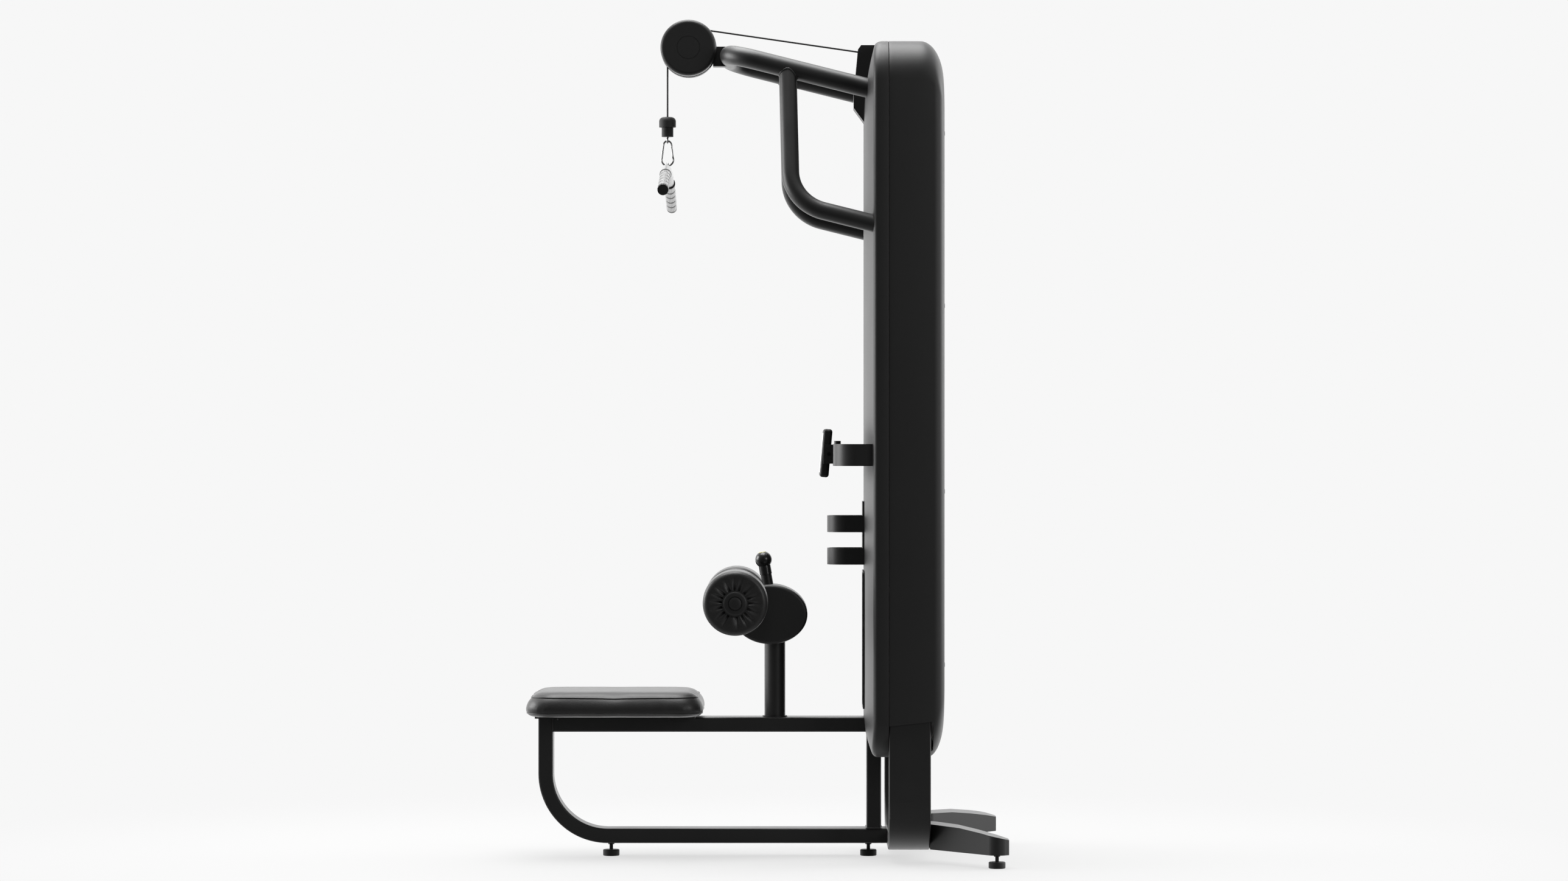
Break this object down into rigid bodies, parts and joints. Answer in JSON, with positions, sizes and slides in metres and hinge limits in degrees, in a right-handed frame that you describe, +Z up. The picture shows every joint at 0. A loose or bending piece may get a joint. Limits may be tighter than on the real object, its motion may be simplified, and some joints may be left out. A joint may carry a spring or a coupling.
{
  "type": "lat pulldown machine",
  "caption": "Gym machine with a seat, thigh rollers and an overhead cable bar that lifts a pinned weight stack in a shelled tower.",
  "frame": {"origin": "on the floor under the middle of the machine's length and width", "axes": "+X from the seat to the weight tower, +Z up, Y across the machine"},
  "size_m": [1.298, 0.9198, 2.2865],
  "materials": {
    "frame_paint": "satin powder coat, fine orange peel",
    "shell_plastic": "fine grained moulding",
    "cover_plastic": "fine grained moulding",
    "seat_cover": "soft grained leatherette",
    "roller_cover": "soft grained leatherette, gathered at the ends",
    "bar_steel": "satin",
    "clip_zinc": "bright zinc",
    "rod_chrome": "polished",
    "plate_iron": "black coat",
    "stop_rubber": "matt",
    "cable_coat": "smooth nylon coat over steel rope",
    "pulley_nylon": "turned nylon",
    "knob_plastic": "satin moulding",
    "knob_yellow": "bright yellow",
    "screen": "polished black glass",
    "screw_steel": "blackened"
  },
  "bodies": {
    "root": {"lower_loop": "frame_paint", "upper_loop": "frame_paint", "base_beam": "frame_paint", "seat_beam": "frame_paint", "mid_post": "frame_paint", "rear_feet": "frame_paint", "foot_pads": "stop_rubber", "foot_stems": "screw_steel", "front_shell": "shell_plastic", "rear_shell": "shell_plastic", "cable_housing": "cover_plastic", "window_bezel": "cover_plastic", "bolts": "screw_steel", "upper_arm": "frame_paint", "braces": "frame_paint", "link_block": "frame_paint", "pulley_covers": "cover_plastic", "pulley_axles": "screw_steel", "tower_bracket": "frame_paint", "cable_top": "cable_coat", "seat_plate": "frame_paint", "seat_pad": "seat_cover", "pad_post": "frame_paint", "index_plate": "rod_chrome", "bottle_holder": "frame_paint", "console_jaw": "cover_plastic", "console_arm": "frame_paint", "guide_rods": "rod_chrome", "stack_bumpers": "stop_rubber", "rod_crossbar": "frame_paint", "resting_plates": "plate_iron"},
    "stack": {"lifted_plates": "plate_iron", "header_and_stem": "rod_chrome", "cable_rise": "cable_coat"},
    "selector": {"selector_pin": "rod_chrome"},
    "head_wheel": {"head_pulley": "pulley_nylon"},
    "tower_wheel": {"tower_pulley": "pulley_nylon"},
    "cable_end": {"cable_stop": "stop_rubber", "cable_drop": "cable_coat"},
    "swivel": {"swivel_eye": "clip_zinc"},
    "clip": {"carabiner": "clip_zinc"},
    "clip_gate": {"carabiner_gate": "clip_zinc"},
    "bar": {"lat_bar": "bar_steel", "bar_grips": "bar_steel", "bar_caps": "cover_plastic", "bar_eye": "bar_steel"},
    "pad_arm": {"pod_shell": "cover_plastic", "pivot_pin": "rod_chrome", "roller_axle": "rod_chrome", "pin_guide": "screw_steel"},
    "pull_pin": {"pin_knob": "knob_plastic", "pin_insert": "knob_yellow", "pin_plunger": "rod_chrome"},
    "near_roller": {"roller_near": "roller_cover", "hub_near": "cover_plastic"},
    "far_roller": {"roller_far": "roller_cover", "hub_far": "cover_plastic"},
    "console": {"console_body": "cover_plastic", "console_screen": "screen"}
  },
  "joints": [
    {"name": "stack_lift", "type": "slide", "parent": "root", "child": "stack", "axis": [0, 0, 1], "range_m": [0, 0.8], "deforming": ["cable_rise"]},
    {"name": "bar_drop", "type": "slide", "parent": "root", "child": "cable_end", "axis": [0, 0, -1], "range_m": [0, 0.8], "deforming": ["cable_drop"]},
    {"name": "head_pulley_spin", "type": "hinge", "parent": "root", "child": "head_wheel", "pos_m": [-0.209, 0, 2.21002], "axis": [0, -1, 0], "range_deg": [-5, 800]},
    {"name": "tower_pulley_spin", "type": "hinge", "parent": "root", "child": "tower_wheel", "pos_m": [0.3295, 0, 2.132], "axis": [0, -1, 0], "range_deg": [-5, 800]},
    {"name": "eye_swivel", "type": "hinge", "parent": "cable_end", "child": "swivel", "pos_m": [-0.267, 0, 1.95902], "axis": [0, 0, 1], "range_deg": [-35, 35]},
    {"name": "clip_swing", "type": "hinge", "parent": "swivel", "child": "clip", "pos_m": [-0.267, 0, 1.94652], "axis": [0, 1, 0], "range_deg": [-25, 25]},
    {"name": "gate_open", "type": "hinge", "parent": "clip", "child": "clip_gate", "pos_m": [-0.25206, 0, 1.91393], "axis": [0, -1, 0], "range_deg": [0, 20], "stiffness_Nm_per_rad": 0.05, "springref_deg": -17.19},
    {"name": "bar_rock", "type": "hinge", "parent": "clip", "child": "bar", "pos_m": [-0.267, 0, 1.88662], "axis": [1, 0, 0], "range_deg": [-18, 18]},
    {"name": "pod_turn", "type": "hinge", "parent": "root", "child": "pad_arm", "pos_m": [0.022, 0, 0.663], "axis": [0, 1, 0], "range_deg": [-30, 30]},
    {"name": "pin_pull", "type": "slide", "parent": "pad_arm", "child": "pull_pin", "axis": [-0.1736, 0, 0.9848], "range_m": [0, 0.012], "stiffness_N_per_m": 900, "springref_m": -0.012},
    {"name": "near_roller_spin", "type": "hinge", "parent": "pad_arm", "child": "near_roller", "pos_m": [-0.079, 0, 0.7], "axis": [0, 1, 0], "continuous": true},
    {"name": "far_roller_spin", "type": "hinge", "parent": "pad_arm", "child": "far_roller", "pos_m": [-0.079, 0, 0.7], "axis": [0, 1, 0], "continuous": true},
    {"name": "console_tilt", "type": "hinge", "parent": "root", "child": "console", "pos_m": [0.174, 0, 1.1], "axis": [0, 1, 0], "range_deg": [-12, 15]},
    {"name": "selector_pull", "type": "slide", "parent": "stack", "child": "selector", "axis": [-1, 0, 0], "range_m": [0, 0.04]}
  ],
  "couplings": [
    {"joint": "bar_drop", "follows": "stack_lift", "ratio": 1},
    {"joint": "head_pulley_spin", "follows": "stack_lift", "rad_per_m": 17.241},
    {"joint": "tower_pulley_spin", "follows": "stack_lift", "rad_per_m": 17.241}
  ]
}
